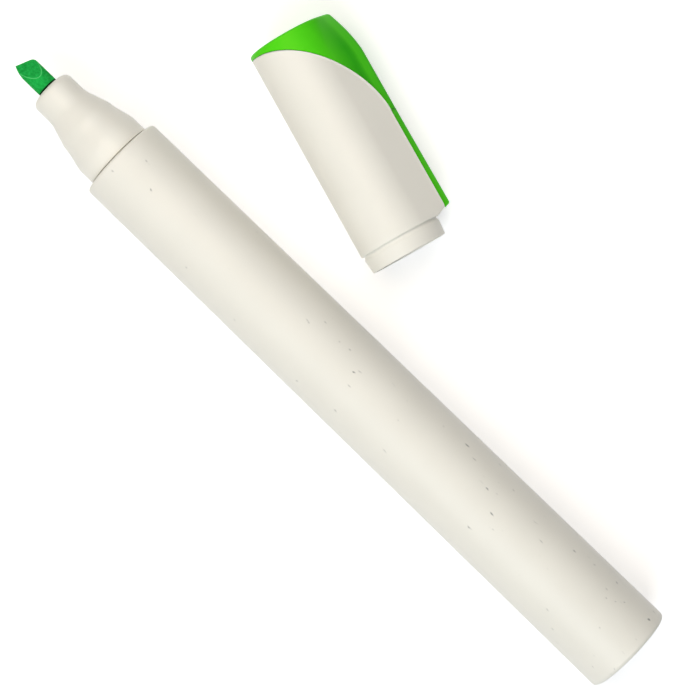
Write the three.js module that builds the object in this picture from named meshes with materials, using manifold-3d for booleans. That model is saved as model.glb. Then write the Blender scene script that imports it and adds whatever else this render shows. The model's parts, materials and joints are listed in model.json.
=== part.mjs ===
// Felt tip marker with a chisel nib, lying on its side with its cap pulled off beside it.
//
// Millimetres, +Z up. The marker's axis runs along X: the nib points to -X and the tail to +X.
// Every piece is turned about its own axis first. Along the marker, x = 0 is the front face of
// the barrel. Along the cap, x = 0 is the closed end and the mouth is at x = capLength; the cap's
// keel and clip stand out towards its own +Y. At the end the whole set is moved so that the
// middle of its footprint is at the origin, and it rests on z = 0.

import * as THREE from 'three';
import { mergeVertices } from 'three/addons/utils/BufferGeometryUtils.js';
import Module from 'manifold-3d';

// ---- Barrel ---------------------------------------------------------------------------------
const barrelLength = 114.3;
const barrelFrontRadius = 7.46;
const barrelTaper = 0.5; // how much larger the radius is at the tail
const barrelWall = 1.15; // at the tail; the bore has no draft at the front, where the nose fits
const tailWall = 1.5;
const frontEdgeRadius = 0.9;
const tailEdgeRadius = 0.75;
const shoulderWidth = 1.41; // ring of the barrel's front face left bare around the nose
const tailRibLength = 4.0; // ribs moulded in the tail that stop the reservoir
const tailRibThickness = 1.0;
const tailRibCount = 4;

// ---- Nose section ---------------------------------------------------------------------------
const noseLength = 16.0;
const noseBaseLength = 3.3; // full-width cylinder next to the barrel
const noseStepLength = 2.9; // cone from the base down to the sealing land
const noseStepDrop = 0.75;
const noseLandLength = 1.4; // land that the cap's inner seal closes on
const noseLandDraft = 0.17;
const noseConeLength = 4.0; // cone from the land down to the tip cylinder
const noseTipWall = 1.97; // plastic around the nib at the tip
const noseTipRound = 1.4;
const noseSpigotLength = 9.0; // length pressed into the barrel
const noseSpigotWall = 1.1;
const noseSpigotEase = 0.2; // how much wider the spigot is than the base in front of it
const noseThroatLength = 7.0; // length of the tight bore that grips the nib

// ---- Nib ------------------------------------------------------------------------------------
const nibRadius = 1.85;
const nibProtrusion = 6.75; // from the nose's front face to where the edge would meet the side
const nibInReservoir = 12.0;
const chiselHalfAngle = THREE.MathUtils.degToRad(28);
const chiselSlant = THREE.MathUtils.degToRad(23);
const chiselBlunt = 0.12; // how far the edge is set back from where the two facets would meet
const chiselCorner = 0.7; // length of the rounding at the corner that trails
const chiselLeadInset = 0.64; // how far the leading corner stands in from the nib's side
const chiselLeadLength = 2.6; // length over which that side curves in to the corner
const chiselLeadBow = 0.6; // where along that length the curve is pulled to the side

// ---- Ink reservoir --------------------------------------------------------------------------
const sleeveWall = 0.25;
const sleeveOverhang = 0.5; // how far the film stops short of each end of the fibre core

// ---- Cap ------------------------------------------------------------------------------------
const capLength = 40.35;
const capWall = 0.92; // round wall at the mouth end of the shell
const capDraft = 0.25; // how much smaller the radius is at the closed end
const capEndEdgeRadius = 0.65;
const skirtLength = 3.1; // narrower ring that stands out of the shell at the mouth
const skirtWall = 0.65; // at its root
const skirtTaper = 0.22;
const shellEndEdgeRadius = 0.22; // less than the step down to the skirt
const keelRise = 1.53; // from the round shell out to the white face under the clip
const keelHalfWidth = 2.2; // at that face
const keelCornerLength = 0.6; // the keel's end slopes back from the shell's end
const keelCornerDepth = 1.5;
const crownRise = 2.5; // from the round shell out to the highest line of the crown's ridge
const crownEndRise = 0.55; // the same at the closed end
const crownPeak = 8.6; // distance from the closed end to the crown's highest line
const crownBulge = 0.6; // place of the slope's control point, as a share of crownPeak
const crownCorner = 0.9; // length of the rounding where the slope meets the closed end
const ridgeFillet = 0.9; // slope that leads from the round crown up to the side of its ridge
const crownSkin = 0.95; // green thickness at the side away from the keel
const sweepLead = 6.8; // how far the colour line runs along the closed end before it turns
const sweepDip = 0.25; // how much the line leans towards the closed end on the way
const sweepRun = 9.0; // how far before its end the line settles towards the keel's face
const sweepDrop = 0.7; // how far below the keel's face it aims there
const crownSweepEnd = 18.7; // where the green narrows to the strip
const crownPlugDepth = 5.0;
const crownPlugWall = 0.8;
const crownEndWall = 1.1;
const clipThickness = 0.68;
const clipStandOff = 0.3;
const clipRootHalfWidth = 2.0; // the crown's ridge is as wide
const clipFootHalfWidth = 1.7;
const clipFootSetBack = 0.55; // from the shell's end
const clipFootSwell = 0.12; // how much thicker the strip is at its foot
const clipFootBevel = 0.45;
const sealWall = 0.5;
const sealTipRoom = 2.0; // space between the nib's point and the seal's bottom when capped
const sealNibRoom = 0.75;

// ---- Fits and gaps --------------------------------------------------------------------------
const pressFit = 0.05; // nose in barrel, nib in nose
const slideFit = 0.15; // cap on nose
const looseFit = 0.1; // reservoir in its film, film in barrel
const capSeam = 0.3; // between the cap's own pieces
const buttGap = 0.3; // between pieces that meet end to end

// ---- Where the cap lies beside the marker ----------------------------------------------------
const capTurn = THREE.MathUtils.degToRad(-16.4);
const capEndX = 5.52;
const capEndY = 32.77;

// ---- Finishes and resolution -----------------------------------------------------------------
const whitePlastic = { color: 0xf0ede3, roughness: 0.42, metalness: 0 };
const nosePlastic = { color: 0xf1efe6, roughness: 0.38, metalness: 0 };
const greenPlastic = { color: 0x3cc414, roughness: 0.35, metalness: 0 };
const greenFelt = { color: 0x14a03c, roughness: 0.95, metalness: 0 };
const inkedFibre = { color: 0x2f9e4f, roughness: 0.95, metalness: 0 };
const clearFilm = { color: 0xd8e4dc, roughness: 0.25, metalness: 0 };
const outerSegments = 64;
const innerSegments = 40;
const cornerSteps = 4;
const curveSteps = 14;
const beyond = 100; // cutters reach at least this far
const weld = 1e-5;

// ---- Sizes that follow -----------------------------------------------------------------------
const tailRadius = barrelFrontRadius + barrelTaper;
const noseBaseRadius = barrelFrontRadius - shoulderWidth;
const noseLandRadius = noseBaseRadius - noseStepDrop;
const noseTipRadius = nibRadius + noseTipWall;
const spigotRadius = noseBaseRadius + noseSpigotEase;
const barrelBoreFront = spigotRadius + pressFit;
const barrelBoreTail = tailRadius - barrelWall;
const noseTipStart = noseBaseLength + noseStepLength + noseLandLength + noseConeLength;
const reservoirStart = noseSpigotLength + buttGap;
const reservoirEnd = barrelLength - tailWall - tailRibLength - buttGap;
const sleeveRadius = barrelBoreFront - looseFit;
const reservoirRadius = sleeveRadius - sleeveWall - looseFit;
const capBoreRadius = noseBaseRadius + slideFit;
const capMouthRadius = capBoreRadius + capWall;
const capEndRadius = capMouthRadius - capDraft;
const shellLength = capLength - skirtLength;
const keelFace = capMouthRadius + keelRise;
const crownFace = capMouthRadius + crownRise;
const clipInner = keelFace + clipStandOff;
const clipStart = crownSweepEnd;
const clipEnd = shellLength - clipFootSetBack;

const wasm = await Module();
wasm.setup();

// Drops the triangles that merging has squeezed to a line, as at the two ends of a lathe's axis.
function withoutSlivers(index) {
  const kept = [];
  for (let i = 0; i < index.length; i += 3) {
    const [a, b, c] = [index[i], index[i + 1], index[i + 2]];
    if (a !== b && b !== c && c !== a) kept.push(a, b, c);
  }
  return new Uint32Array(kept);
}

function toSolid(geometry) {
  const bare = geometry.clone();
  bare.deleteAttribute('normal');
  bare.deleteAttribute('uv');
  const merged = mergeVertices(bare, weld);
  const vertProperties = new Float32Array(merged.getAttribute('position').array);
  const triVerts = withoutSlivers(merged.getIndex().array);
  return new wasm.Manifold(new wasm.Mesh({ numProp: 3, vertProperties, triVerts }));
}

function toGeometry(solid) {
  const { vertProperties, triVerts } = solid.getMesh();
  const geometry = new THREE.BufferGeometry();
  geometry.setAttribute('position', new THREE.BufferAttribute(vertProperties, 3));
  geometry.setIndex(new THREE.BufferAttribute(triVerts, 1));
  geometry.computeVertexNormals();
  return geometry;
}

function toMesh(name, geometry, finish) {
  const mesh = new THREE.Mesh(geometry, new THREE.MeshStandardMaterial(finish));
  mesh.name = name;
  return mesh;
}

// A solid turned about the X axis. The profile is a list of [x, radius], from low x to high x
// along the outside and back along the inside where there is one.
function turned(profile, segments) {
  const points = profile.map(([x, radius]) => new THREE.Vector2(radius, x));
  return new THREE.LatheGeometry(points, segments).rotateZ(-Math.PI / 2);
}

// Points of a quarter-round edge. (x, r) is the centre of the round and the angles are in
// degrees, 0 towards +X and 90 away from the axis.
function rounded(x, r, radius, from, to) {
  const points = [];
  for (let i = 0; i <= cornerSteps; i += 1) {
    const angle = THREE.MathUtils.degToRad(from + ((to - from) * i) / cornerSteps);
    points.push([x + radius * Math.cos(angle), r + radius * Math.sin(angle)]);
  }
  return points;
}

// A flat outline in XY, made thick along Z and centred on z = 0.
function slab(shape, halfThickness) {
  const geometry = new THREE.ExtrudeGeometry(shape, {
    depth: 2 * halfThickness,
    bevelEnabled: false,
    curveSegments: curveSteps,
  });
  return geometry.translate(0, 0, -halfThickness);
}

function outline(points) {
  return new THREE.Shape(points.map(([x, y]) => new THREE.Vector2(x, y)));
}

// ---- Marker ----------------------------------------------------------------------------------
function barrelGeometry() {
  const boreEnd = barrelLength - tailWall;
  const body = toSolid(turned([
    [0, barrelBoreFront],
    ...rounded(frontEdgeRadius, barrelFrontRadius - frontEdgeRadius, frontEdgeRadius, 180, 90),
    ...rounded(barrelLength - tailEdgeRadius, tailRadius - tailEdgeRadius, tailEdgeRadius, 90, 0),
    [barrelLength, 0],
    [boreEnd, 0],
    [boreEnd, barrelBoreTail],
    [reservoirStart, barrelBoreFront],
    [0, barrelBoreFront],
  ], outerSegments));
  const ribs = [];
  for (let i = 0; i < tailRibCount; i += 1) ribs.push(toSolid(tailRib(i, boreEnd)));
  return toGeometry(ribs.reduce((solid, rib) => solid.add(rib), body));
}

// One rib stands from the tail wall forward and reaches from the axis into the barrel's wall.
function tailRib(index, boreEnd) {
  const reach = barrelBoreTail + barrelWall / 2;
  const rib = new THREE.BoxGeometry(tailRibLength + tailWall / 2, reach, tailRibThickness);
  rib.translate(boreEnd + tailWall / 4 - tailRibLength / 2, reach / 2, 0);
  return rib.rotateX((2 * Math.PI * index) / tailRibCount);
}

function noseGeometry() {
  const coneEnd = noseBaseLength + noseStepLength + noseLandLength;
  const nibBore = nibRadius + pressFit;
  const chamber = spigotRadius - noseSpigotWall;
  const throatEnd = -noseLength + noseThroatLength;
  const nose = turned([
    [-noseLength, nibBore],
    ...rounded(-noseLength + noseTipRound, noseTipRadius - noseTipRound, noseTipRound, 180, 90),
    [-noseTipStart, noseTipRadius],
    [-coneEnd, noseLandRadius - noseLandDraft],
    [-noseBaseLength - noseStepLength, noseLandRadius],
    [-noseBaseLength, noseBaseRadius],
    [buttGap, noseBaseRadius],
    [buttGap, spigotRadius],
    [noseSpigotLength, spigotRadius],
    [noseSpigotLength, chamber],
    [-noseBaseLength, chamber],
    [throatEnd, nibBore + noseSpigotWall],
    [throatEnd, nibBore],
    [-noseLength, nibBore],
  ], outerSegments);
  return nose;
}

// The chisel: two flat facets that meet in an edge, which leans so that its -Y corner leads.
function nibGeometry() {
  const tip = -noseLength - nibProtrusion;
  const tail = reservoirStart + nibInReservoir;
  const rod = turned([[tip, 0], [tip, nibRadius], [tail, nibRadius], [tail, 0]], innerSegments);
  const edgeMiddle = tip + nibRadius * Math.tan(chiselSlant);
  const spread = beyond * Math.tan(chiselHalfAngle);
  const wedge = outline([[-chiselBlunt, 0], [beyond, spread], [beyond, -spread]]);
  const facets = slab(wedge, beyond).rotateX(Math.PI / 2).rotateZ(-chiselSlant);
  facets.translate(edgeMiddle, 0, 0);
  const plan = slab(chiselPlan(), beyond).translate(edgeMiddle, 0, 0);
  return toGeometry(toSolid(rod).intersect(toSolid(facets)).intersect(toSolid(plan)));
}

// The nib seen from above, around the middle of its edge: the edge leans by the slant, its
// trailing corner is rounded, and the side curves in to its leading corner.
function chiselPlan() {
  const along = new THREE.Vector2(Math.sin(chiselSlant), Math.cos(chiselSlant));
  const corner = along.clone().multiplyScalar(nibRadius / along.y);
  const before = corner.clone().addScaledVector(along, -chiselCorner);
  const lead = along.clone().multiplyScalar((chiselLeadInset - nibRadius) / along.y);
  const bow = lead.x + chiselLeadBow * chiselLeadLength;
  const shape = new THREE.Shape();
  shape.moveTo(lead.x, lead.y);
  shape.quadraticCurveTo(bow, -nibRadius, lead.x + chiselLeadLength, -nibRadius);
  shape.lineTo(2 * beyond, -nibRadius);
  shape.lineTo(2 * beyond, corner.y);
  shape.lineTo(corner.x + chiselCorner, corner.y);
  shape.quadraticCurveTo(corner.x, corner.y, before.x, before.y);
  return shape;
}

function reservoirGeometry() {
  const nibBore = nibRadius + looseFit;
  const boreEnd = reservoirStart + nibInReservoir + buttGap;
  return turned([
    [reservoirStart, nibBore],
    [reservoirStart, reservoirRadius],
    [reservoirEnd, reservoirRadius],
    [reservoirEnd, 0],
    [boreEnd, 0],
    [boreEnd, nibBore],
    [reservoirStart, nibBore],
  ], innerSegments);
}

function sleeveGeometry() {
  const [start, end] = [reservoirStart + sleeveOverhang, reservoirEnd - sleeveOverhang];
  const inner = sleeveRadius - sleeveWall;
  return turned([
    [start, inner],
    [start, sleeveRadius],
    [end, sleeveRadius],
    [end, inner],
    [start, inner],
  ], innerSegments);
}

// ---- Cap -------------------------------------------------------------------------------------
// The round body with its skirt, without the bore.
function capRound() {
  const skirtRadius = capBoreRadius + skirtWall;
  const edge = shellEndEdgeRadius;
  return toSolid(turned([
    [0, 0],
    ...rounded(capEndEdgeRadius, capEndRadius - capEndEdgeRadius, capEndEdgeRadius, 180, 90),
    ...rounded(shellLength - edge, capMouthRadius - edge, edge, 90, 0),
    [shellLength, skirtRadius],
    [capLength, skirtRadius - skirtTaper],
    [capLength, 0],
  ], outerSegments));
}

// The angle from the keel's middle at which its flank leaves the round body, so that the flank
// is tangent there and passes through the edge of the keel's face.
function flankAngle() {
  const distance = Math.hypot(keelFace, keelHalfWidth);
  return Math.acos(capEndRadius / distance) + Math.atan2(keelHalfWidth, keelFace);
}

// A bar along the cap with the given section, cut to the side outline of the cap.
function capBar(halfSection) {
  const mirrored = halfSection.map(([y, z]) => [y, -z]).reverse();
  const section = outline([...mirrored, ...halfSection]);
  const bar = new THREE.ExtrudeGeometry(section, { depth: shellLength, bevelEnabled: false });
  bar.applyMatrix4(new THREE.Matrix4().makeBasis(
    new THREE.Vector3(0, 1, 0),
    new THREE.Vector3(0, 0, 1),
    new THREE.Vector3(1, 0, 0),
  ));
  return toSolid(bar).intersect(toSolid(slab(sideOutline(), beyond)));
}

// The white shell's keel, whose flat flanks carry the clip's strip.
function shellKeel() {
  const angle = flankAngle();
  const [touchY, touchZ] = [capEndRadius * Math.cos(angle), capEndRadius * Math.sin(angle)];
  return capBar([[keelFace, keelHalfWidth], [touchY, touchZ], [0, touchZ]]);
}

// The crown's ridge: a narrow bar that carries on as the clip's strip.
function crownRidge() {
  const foot = clipRootHalfWidth + ridgeFillet;
  const footY = Math.sqrt(capEndRadius ** 2 - foot ** 2);
  return capBar([
    [crownFace, clipRootHalfWidth],
    [footY + ridgeFillet, clipRootHalfWidth],
    [footY, foot],
    [0, foot],
  ]);
}

// The cap seen from the side of the keel's flank: the line climbs from the closed end to the
// crown's highest line, runs on parallel to the axis, and slopes back at the shell's end.
function sideOutline() {
  const shape = new THREE.Shape();
  const corner = new THREE.Vector2(0, capMouthRadius + crownEndRise);
  const bulge = new THREE.Vector2(crownBulge * crownPeak, crownFace);
  const slopeStart = bulge.clone().sub(corner).setLength(crownCorner).add(corner);
  shape.moveTo(0, 0);
  shape.lineTo(0, corner.y - crownCorner);
  shape.quadraticCurveTo(corner.x, corner.y, slopeStart.x, slopeStart.y);
  shape.quadraticCurveTo(bulge.x, bulge.y, crownPeak, crownFace);
  shape.lineTo(shellLength - keelCornerLength, crownFace);
  shape.lineTo(shellLength - keelCornerLength, keelFace);
  shape.lineTo(shellLength, keelFace - keelCornerDepth);
  shape.lineTo(shellLength, 0);
  return shape;
}

// Everything on the white side of the S-shaped line between the white and the green. The shift
// moves the line towards the green, which leaves the seam between the two pieces.
function whiteSide(shift) {
  const shape = new THREE.Shape();
  const sweep = [
    [crownSkin, -capMouthRadius],
    [crownSkin - sweepDip, -capMouthRadius + sweepLead],
    [crownSweepEnd - sweepRun, keelFace - sweepDrop],
    [crownSweepEnd, keelFace],
  ].map(([x, y]) => [x - shift, y + shift]);
  shape.moveTo(sweep[0][0], -beyond);
  shape.lineTo(...sweep[0]);
  shape.bezierCurveTo(...sweep[1], ...sweep[2], ...sweep[3]);
  shape.lineTo(capLength + beyond, keelFace + shift);
  shape.lineTo(capLength + beyond, -beyond);
  return toSolid(slab(shape, beyond));
}

function capBore(from) {
  return toSolid(turned([
    [from, 0],
    [from, capBoreRadius],
    [capLength + beyond, capBoreRadius],
    [capLength + beyond, 0],
  ], outerSegments));
}

function shellGeometry() {
  const outer = capRound().add(shellKeel());
  return toGeometry(outer.intersect(whiteSide(0)).subtract(capBore(-beyond)));
}

function crownGeometry() {
  const outer = capRound().add(crownRidge());
  const lid = outer.subtract(whiteSide(capSeam)).subtract(capBore(crownEndWall));
  const strip = new THREE.BoxGeometry(beyond, 2 * beyond, 2 * beyond);
  const beforeClip = lid.subtract(toSolid(strip.translate(clipStart - capSeam + beyond / 2, 0, 0)));
  const plugRadius = capBoreRadius - capSeam;
  const plug = turned([
    [crownSkin / 2, plugRadius - crownPlugWall],
    [crownSkin / 2, plugRadius],
    [crownPlugDepth, plugRadius],
    [crownPlugDepth, plugRadius - crownPlugWall],
    [crownSkin / 2, plugRadius - crownPlugWall],
  ], outerSegments);
  return toGeometry(beforeClip.add(toSolid(plug)));
}

// The strip is drawn in side view and trimmed to its tapering width.
function clipGeometry() {
  const outer = clipInner + clipThickness;
  const foot = outer + clipFootSwell;
  const side = slab(outline([
    [clipStart, clipInner],
    [clipEnd, clipInner],
    [clipEnd, foot - clipFootBevel],
    [clipEnd - clipFootBevel, foot],
    [clipStart, outer],
  ]), beyond);
  const width = slab(outline([
    [clipStart, -clipRootHalfWidth],
    [clipEnd, -clipFootHalfWidth],
    [clipEnd, clipFootHalfWidth],
    [clipStart, clipRootHalfWidth],
  ]), beyond).rotateX(Math.PI / 2);
  return toGeometry(toSolid(side).intersect(toSolid(width)));
}

// A cup that follows the nose and nib when the cap is on, closed beyond the nib's point.
function innerSealGeometry() {
  const onNose = (x) => capLength - x; // a place along the nose, measured from the cap's end
  const rim = onNose(noseBaseLength + noseStepLength);
  const coneEnd = onNose(noseBaseLength + noseStepLength + noseLandLength);
  const tipStart = onNose(noseTipStart);
  const noseFront = onNose(noseLength + buttGap);
  const bottom = onNose(noseLength + nibProtrusion + sealTipRoom);
  const land = noseLandRadius + slideFit;
  const tip = noseTipRadius + slideFit;
  const nib = nibRadius + sealNibRoom;
  return turned([
    [bottom - sealWall, 0],
    [bottom - sealWall, nib + sealWall],
    [noseFront - sealWall, nib + sealWall],
    [noseFront - sealWall, tip + sealWall],
    [tipStart, tip + sealWall],
    [coneEnd, land + sealWall / 2],
    [coneEnd, capBoreRadius - capSeam],
    [rim, capBoreRadius - capSeam],
    [rim, land],
    [coneEnd, land],
    [tipStart, tip],
    [noseFront, tip],
    [noseFront, nib],
    [bottom, nib],
    [bottom, 0],
  ], innerSegments);
}

function buildCap() {
  const cap = new THREE.Group();
  cap.add(toMesh('cap_shell', shellGeometry(), whitePlastic));
  cap.add(toMesh('cap_crown', crownGeometry(), greenPlastic));
  cap.add(toMesh('cap_clip', clipGeometry(), greenPlastic));
  cap.add(toMesh('cap_inner_seal', innerSealGeometry(), nosePlastic));
  cap.position.set(capEndX, capEndY, capMouthRadius);
  cap.rotation.z = capTurn;
  return cap;
}

function buildMarker() {
  const marker = new THREE.Group();
  marker.add(toMesh('barrel', barrelGeometry(), whitePlastic));
  marker.add(toMesh('nose_section', noseGeometry(), nosePlastic));
  marker.add(toMesh('nib', nibGeometry(), greenFelt));
  marker.add(toMesh('ink_reservoir', reservoirGeometry(), inkedFibre));
  marker.add(toMesh('reservoir_sleeve', sleeveGeometry(), clearFilm));
  marker.position.z = tailRadius;
  return marker;
}

const root = new THREE.Group();
root.add(buildMarker(), buildCap());
const box = new THREE.Box3().setFromObject(root, true);
const middle = box.getCenter(new THREE.Vector3());
root.position.set(-middle.x, -middle.y, -box.min.z);

export default root;
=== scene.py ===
"""Felt tip marker with a green chisel nib, lying beside its pulled-off cap.

Each sub-assembly is a class that holds its sizes in millimetres, on axes of its own: x runs along
the turned axis, y towards the side that the clip stands on, and z up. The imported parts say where
those axes lie, so every piece is placed by them.
"""

import bisect
import functools
import json
import logging
import math
from collections.abc import Callable, Sequence
from dataclasses import dataclass, field
from enum import Enum
from typing import Any, NamedTuple

import bmesh
import bpy
from mathutils import Matrix, Vector


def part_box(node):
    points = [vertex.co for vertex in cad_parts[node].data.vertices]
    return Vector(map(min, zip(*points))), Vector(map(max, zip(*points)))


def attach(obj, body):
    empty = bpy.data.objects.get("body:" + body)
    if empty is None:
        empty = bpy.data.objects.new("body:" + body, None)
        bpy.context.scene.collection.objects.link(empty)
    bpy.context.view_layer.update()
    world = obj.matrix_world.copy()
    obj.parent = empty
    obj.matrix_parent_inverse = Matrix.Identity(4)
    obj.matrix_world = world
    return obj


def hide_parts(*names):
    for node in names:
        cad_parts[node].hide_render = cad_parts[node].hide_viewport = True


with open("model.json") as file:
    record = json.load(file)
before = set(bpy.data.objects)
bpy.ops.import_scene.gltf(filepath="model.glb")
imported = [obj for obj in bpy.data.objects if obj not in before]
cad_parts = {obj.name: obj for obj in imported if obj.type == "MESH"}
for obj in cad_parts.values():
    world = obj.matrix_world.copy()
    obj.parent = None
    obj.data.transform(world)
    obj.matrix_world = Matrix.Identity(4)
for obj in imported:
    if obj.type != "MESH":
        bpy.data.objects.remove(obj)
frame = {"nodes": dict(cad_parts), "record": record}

LOG = logging.getLogger("marker")
METRES = 0.001  # one millimetre
WELD = 1e-6  # vertices nearer than this, in millimetres, are one
FULL_TURN = 2.0 * math.pi
PAINTED_SHADE = "painted_ridge_shade"  # the vertex attribute for how much painted shade, a darker green, a place gets
PAINTED_ENTRY_SHADOW = "painted_entry_shadow"  # 1 on the ring of painted shadow where the nib enters the nose
WORN_AND_HIGHLIT = "worn_and_highlit_edge"  # 1 on the nib's rounded edges: paler from wear, and a painted highlight


class Body(Enum):
    """The bodies that move on their own."""

    MARKER = "marker"
    CAP = "cap"
    CLIP = "clip"


class Slot(Enum):
    """The record's material slots."""

    BARREL = "barrel_plastic"
    CAP = "cap_plastic"
    NOSE = "nose_plastic"
    SEAL = "seal_plastic"
    CROWN = "crown_plastic"
    FELT = "nib_felt"
    FIBRE = "reservoir_fibre"
    FILM = "reservoir_film"


# ---- Places --------------------------------------------------------------------------------------
@dataclass(frozen=True)
class Place:
    """Where a sub-assembly's own axes lie in the row frame."""

    origin: Vector
    along: Vector

    def matrix(self) -> Matrix:
        """Takes millimetres on the sub-assembly's axes to metres in the row frame."""
        up = Vector((0.0, 0.0, 1.0))
        side = up.cross(self.along)
        turn = Matrix((self.along, side, up)).transposed().to_4x4()
        return Matrix.Translation(self.origin) @ turn @ Matrix.Scale(METRES, 4)


def mount_named(name: str) -> dict[str, Any]:
    """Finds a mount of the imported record.

    Args:
        name: the mount's name.

    Returns:
        The mount, with its place and its axis.
    """
    return next(m for m in frame["record"]["mounts"] if m["name"] == name)


def marker_place() -> Place:
    """The marker's axes: x is 0 at the barrel's front face."""
    tail = Vector(mount_named("tail_face")["pos_m"])
    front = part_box("barrel")[0].x
    return Place(Vector((front, tail.y, tail.z)), Vector((1.0, 0.0, 0.0)))


def cap_place() -> Place:
    """The cap's axes: x is 0 at its closed end and grows towards the mouth."""
    end = mount_named("cap_end_face")
    return Place(Vector(end["pos_m"]), -Vector(end["axis"]).normalized())


# ---- Numbers -------------------------------------------------------------------------------------
def mix(start: float, end: float, share: float) -> float:
    """The number that lies a share of the way from start to end."""
    return start + (end - start) * share


def soft_min(first: float, second: float, reach: float) -> float:
    """The smaller number, rounded off where the two are within reach of each other."""
    near = max(reach - abs(first - second), 0.0) / reach
    return min(first, second) - near * near * reach / 4.0


def linear_colour(code: str) -> tuple[float, float, float, float]:
    """Turns an sRGB hex value to linear.

    Args:
        code: six hex digits, red first.

    Returns:
        Linear red, green and blue, with an alpha of 1.
    """
    parts = [int(code[i : i + 2], 16) / 255.0 for i in (0, 2, 4)]
    red, green, blue = (
        p / 12.92 if p <= 0.04045 else ((p + 0.055) / 1.055) ** 2.4 for p in parts
    )
    return red, green, blue, 1.0


# ---- Meshes --------------------------------------------------------------------------------------
class Knot(NamedTuple):
    """One corner of an outline that is turned about the x axis."""

    x: float
    radius: float
    cut: float = 0.0  # how far from the corner its rounding starts
    rows: int = 1  # how many rows of faces follow, up to the next corner


def turned(
    knots: Sequence[Knot], steps: int, closed: bool = True, round_steps: int = 6
) -> bmesh.types.BMesh:
    """Spins an outline a full turn about the x axis.

    Args:
        knots: the corners, in order. A solid piece starts and ends on the axis.
        steps: faces around.
        closed: whether the last corner joins the first.
        round_steps: faces across each rounded corner.

    Returns:
        The mesh, in millimetres.
    """
    mesh = bmesh.new()
    corners = [mesh.verts.new((knot.x, knot.radius, 0.0)) for knot in knots]
    ends = corners[1:] + corners[:1] if closed else corners[1:]
    edges = [mesh.edges.new(pair) for pair in zip(corners, ends)]
    for knot, edge in zip(knots, edges):
        if knot.rows > 1:
            bmesh.ops.subdivide_edges(mesh, edges=[edge], cuts=knot.rows - 1)
    for knot in knots:
        if knot.cut > 0.0:
            place = Vector((knot.x, knot.radius, 0.0))
            corner = min(mesh.verts, key=lambda vertex: (vertex.co - place).length)
            bmesh.ops.bevel(
                mesh, geom=[corner], offset=knot.cut, offset_type="OFFSET",
                segments=round_steps, profile=0.5, affect="VERTICES", material=-1,
            )
    bmesh.ops.spin(
        mesh, geom=list(mesh.verts) + list(mesh.edges), cent=(0.0, 0.0, 0.0),
        axis=(1.0, 0.0, 0.0), angle=FULL_TURN, steps=steps, use_merge=True,
    )
    bmesh.ops.remove_doubles(mesh, verts=mesh.verts, dist=WELD)
    bmesh.ops.recalc_face_normals(mesh, faces=mesh.faces)
    return mesh


class Spot(NamedTuple):
    """A point around the x axis."""

    x: float
    radius: float
    angle: float  # from the y axis, towards z


def reshaped(mesh: bmesh.types.BMesh, rule: Callable[[Spot], Spot]) -> bmesh.types.BMesh:
    """Moves each vertex of a turned mesh.

    Args:
        mesh: a turned mesh.
        rule: takes where a vertex is and gives where it goes.

    Returns:
        The same mesh.
    """
    for vertex in mesh.verts:
        x, y, z = vertex.co
        spot = rule(Spot(x, math.hypot(y, z), math.atan2(z, y)))
        vertex.co = (
            spot.x, spot.radius * math.cos(spot.angle), spot.radius * math.sin(spot.angle)
        )
    bmesh.ops.recalc_face_normals(mesh, faces=mesh.faces)
    return mesh


def between(stops: Sequence[tuple[float, float]], value: float) -> float:
    """Reads a value off a line that joins stops.

    Args:
        stops: pairs of input and output, rising.
        value: the input.

    Returns:
        The output.
    """
    for (low, start), (high, end) in zip(stops, stops[1:]):
        if value <= high:
            return mix(start, end, (value - low) / (high - low))
    return stops[-1][1]


@dataclass(frozen=True)
class Piece:
    """A finished mesh with what it stands for."""

    name: str
    mesh: bmesh.types.BMesh
    place: Place
    material: bpy.types.Material
    body: Body
    slot: Slot
    nodes: tuple[str, ...]

    def make(self) -> bpy.types.Object:
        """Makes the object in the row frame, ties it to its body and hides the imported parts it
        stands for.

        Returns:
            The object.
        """
        self.mesh.transform(self.place.matrix())
        for face in self.mesh.faces:
            face.smooth = True
        data = bpy.data.meshes.new(self.name)
        self.mesh.to_mesh(data)
        self.mesh.free()
        data.materials.append(self.material)
        obj = bpy.data.objects.new(self.name, data)
        bpy.context.scene.collection.objects.link(obj)
        weighted = obj.modifiers.new("even_normals", "WEIGHTED_NORMAL")
        weighted.keep_sharp = True
        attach(obj, self.body.value)
        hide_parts(*self.nodes)
        LOG.info("%s: %d faces on %s", self.name, len(data.polygons), self.body.value)
        return obj


# ---- Finishes ------------------------------------------------------------------------------------
def add_node(
    tree: bpy.types.NodeTree,
    kind: str,
    settings: dict[str | int, Any] | None = None,
    links: dict[str | int, bpy.types.NodeSocket] | None = None,
) -> bpy.types.Node:
    """Adds a node with its settings and links.

    Args:
        tree: where it goes.
        kind: the node's type.
        settings: values for its properties, or for its inputs by name or number.
        links: what feeds its inputs.

    Returns:
        The node.
    """
    node = tree.nodes.new(kind)
    for key, value in (settings or {}).items():
        if isinstance(key, str) and hasattr(node, key):
            setattr(node, key, value)
        else:
            node.inputs[key].default_value = value
    for key, source in (links or {}).items():
        tree.links.new(source, node.inputs[key])
    return node


def new_tree(name: str) -> tuple[bpy.types.Material, bpy.types.NodeTree]:
    """A material with an empty node tree."""
    material = bpy.data.materials.new(name)
    material.use_nodes = True
    material.node_tree.nodes.clear()
    return material, material.node_tree


def per_metre(width_mm: float) -> float:
    """The pattern scale whose features are about this wide."""
    return 1.0 / (width_mm * METRES)


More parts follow.
